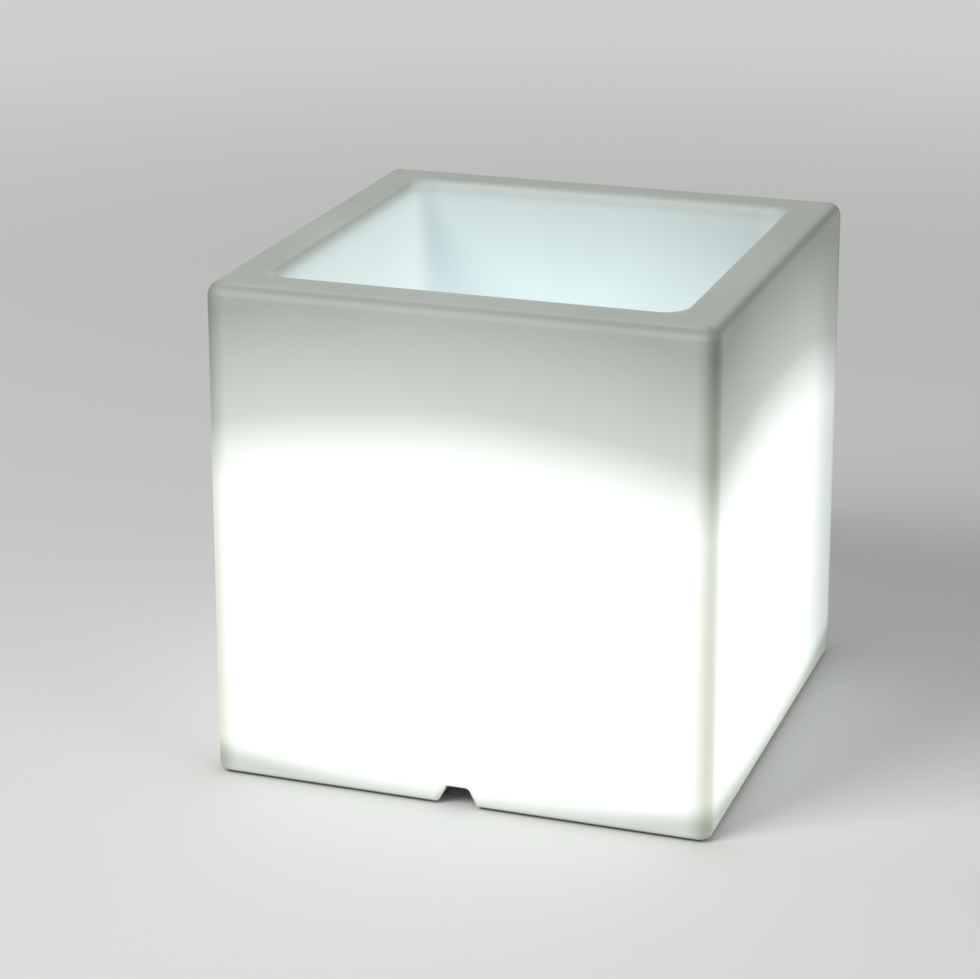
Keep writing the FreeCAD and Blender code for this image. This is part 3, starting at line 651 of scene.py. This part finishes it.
def nickel_strip():
    """Rolled nickel strip: pale warm metal with rolling lines."""
    return grained("nickel_strip", "#B3AEA2", "#C4BFB3", 0.6 * MM, 0.005 * MM, (0.3, 0.42),
                   stretch=(1, 6, 0.2), Metallic=1.0)


def aluminium_sheet():
    """Mill-finish aluminium sheet: light grey metal with faint rolling lines."""
    return grained("aluminium_sheet", "#C3C5C7", "#D2D4D6", 1.2 * MM, 0.004 * MM, (0.3, 0.45),
                   stretch=(0.1, 5, 1), Metallic=1.0)


def red_pvc():
    """PVC lead sleeve: plain red, soft gloss."""
    return grained("red_pvc", "#70201E", "#7E2624", 3 * MM, 0.01 * MM, (0.35, 0.5), IOR=1.53)


def circuit_board(name, mask, track, pitch):
    """Solder-masked board: the copper tracks show as slightly lighter lines under the mask."""
    material = new_material(name)
    place = add(material, "TexCoord").outputs["Object"]
    tracks = add(material, "TexBrick", {
        "Vector": place, "Scale": 1 / pitch, "Color1": colour(mask), "Color2": colour(mask),
        "Mortar": colour(track), "Mortar Size": 0.06}).outputs
    rise = add(material, "Bump", {"Distance": 0.035 * MM, "Height": tracks["Fac"]})
    return finish(material, {"Base Color": tracks["Color"], "Normal": rise, "IOR": 1.55,
                             "Roughness": 0.3, "Coat Weight": 0.5})


def board_green():
    return circuit_board("board_green", "#12502B", "#1F6B3C", 6 * MM)


def board_white():
    return circuit_board("board_white", "#E2E2DC", "#D2D2C9", 10 * MM)


def lit_phosphor():
    """Yellow phosphor of a white light chip, lit."""
    return grained("lit_phosphor", "#E6DC9A", "#EFE7B4", 1 * MM, 0.01 * MM, (0.4, 0.5), IOR=1.41,
                   Emission_Strength=1.0, Emission_Color=colour("#FFF8E6"))


def infrared_filter():
    """Dark epoxy that lets infrared through: almost black with a purple tint."""
    return grained("infrared_filter", "#120A10", "#1C1018", 2 * MM, 0.005 * MM, (0.12, 0.2), IOR=1.55)


FINISHES = {
    "polyethylene": glowing_polyethylene, "pad_rubber": pad_rubber, "brass": turned_brass,
    "tray_plastic": spark_textured_abs, "screw_steel": zinc_plated_steel,
    "socket_plastic": black_nylon, "silicone": grey_silicone, "switch_metal": nickel_plate,
    "button_steel": brushed_stainless, "lens_clear": frosted_polycarbonate,
    "cell_wrap": shrink_wrap, "contact_nickel": nickel_strip, "board_green": board_green,
    "board_white": board_white, "spreader_metal": aluminium_sheet, "light_chip": lit_phosphor,
    "receiver_dark": infrared_filter, "lead_sleeve": red_pvc,
}
finishes = {slot: make() for slot, make in FINISHES.items()}
for row in frame["record"]["subparts"]:
    solid = frame["nodes"][row["node"]]
    for surface in solid.material_slots:
        surface.material = finishes[row["material_slot"]]


def dress(piece, body, slot, *stands_for):
    """Give a new piece its finish, the body that it rides on and the solids that it stands for."""
    piece.data.materials.clear()
    piece.data.materials.append(finishes[slot])
    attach(piece, body)
    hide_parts(*stands_for)


dress(moulded_cube(), "cube", "polyethylene", "cube_shell")
for pad in foot_pads():
    dress(pad, "cube", "pad_rubber", "foot_pads")
for screw in module_screws():
    dress(screw, "cube", "screw_steel", "module_screws")
dress(power_button(), "button", "button_steel", "power_button")
dress(port_flap(), "flap", "silicone", "charge_port_flap")


# ---------------------------------------------------------------------------------------------
# Plain studio: pale floor, soft light from the left front, the photograph's camera

BACKDROP = "#CFD0CE"
FADE_RANGE = (0.7, 3.2)              # where the floor starts and ends fading to it, m from the cube
ROOM_LIGHT = (0.45, 0.45, 0.45, 1)
LIGHT_SIZE = 1.6


def seen_directly(owner):
    """1 for the camera and for what shiny and clear surfaces show, 0 for light itself."""
    rays = add(owner, "LightPath").outputs
    seen = add(owner, "Math", {0: rays["Is Camera Ray"], 1: rays["Is Glossy Ray"]}, operation="MAXIMUM")
    return add(owner, "Math", {0: seen, 1: rays["Is Transmission Ray"]}, operation="MAXIMUM")


def studio_floor():
    """Matt pale floor that fades to an even backdrop far out, and is clear from below."""
    floor = start("floor", "plane", size=14, location=(0, 1, 0))
    bpy.ops.object.mode_set(mode="OBJECT")
    bpy.ops.object.transform_apply(location=True)

    material = new_material("matt_floor")
    matt = add(material, "BsdfPrincipled", {"Base Color": colour("#C6C7C5"), "Roughness": 0.9})
    place = add(material, "TexCoord").outputs["Object"]
    away = add(material, "VectorMath", {0: place}, operation="LENGTH").outputs["Value"]
    near, far = FADE_RANGE
    far_out = add(material, "MapRange", {"Value": away, "From Min": near, "From Max": far}, **SMOOTH)
    fade = add(material, "Math", {0: far_out, 1: seen_directly(material)}, operation="MULTIPLY")
    backdrop = add(material, "Emission", {"Color": colour(BACKDROP)})
    faded = add(material, "MixShader", {0: fade, 1: matt, 2: backdrop})
    from_below = add(material, "NewGeometry").outputs["Backfacing"]
    clear = add(material, "BsdfTransparent")
    see_through = add(material, "MixShader", {0: from_below, 1: faded, 2: clear})
    add(material, "OutputMaterial", {"Surface": see_through})
    floor.data.materials.append(material)


def soft_light(name, place, watts):
    """A square soft light that looks at the middle of the cube."""
    bpy.ops.object.light_add(type="AREA", location=place)
    lamp = bpy.context.object
    lamp.name = name
    lamp.data.size, lamp.data.energy = LIGHT_SIZE, watts
    lamp.rotation_euler = (Vector((0, 0, TOP / 2)) - Vector(place)).to_track_quat("-Z", "Y").to_euler()


def surroundings():
    """Even grey light all round; the camera and shiny surfaces see the backdrop instead."""
    world = bpy.data.worlds.new("surroundings")
    bpy.context.scene.world = world
    world.use_nodes = True
    world.node_tree.nodes.clear()
    light = add(world, "MixRGB", {0: seen_directly(world), 1: ROOM_LIGHT, 2: colour(BACKDROP)})
    add(world, "OutputWorld", {"Surface": add(world, "Background", {"Color": light})})


def photograph_camera():
    """The camera stands to the right of the front and looks down at the cube."""
    spot, look_at = Vector((0.6930, -2.1076, 0.9852)), Vector((-0.0360, -0.0155, 0.1932))
    bpy.ops.object.camera_add(location=spot)
    camera = bpy.context.object
    roll = Quaternion((0, 0, 1), radians(-0.18))
    camera.rotation_euler = ((look_at - spot).to_track_quat("-Z", "Y") @ roll).to_euler()
    camera.data.lens = 107
    bpy.context.scene.camera = camera


studio_floor()
soft_light("key_light", (-1.5, -2.1, 2.6), 100)
soft_light("fill_light", (2.6, -1.0, 1.4), 26)
surroundings()
photograph_camera()
bpy.context.scene.view_settings.view_transform = "Standard"
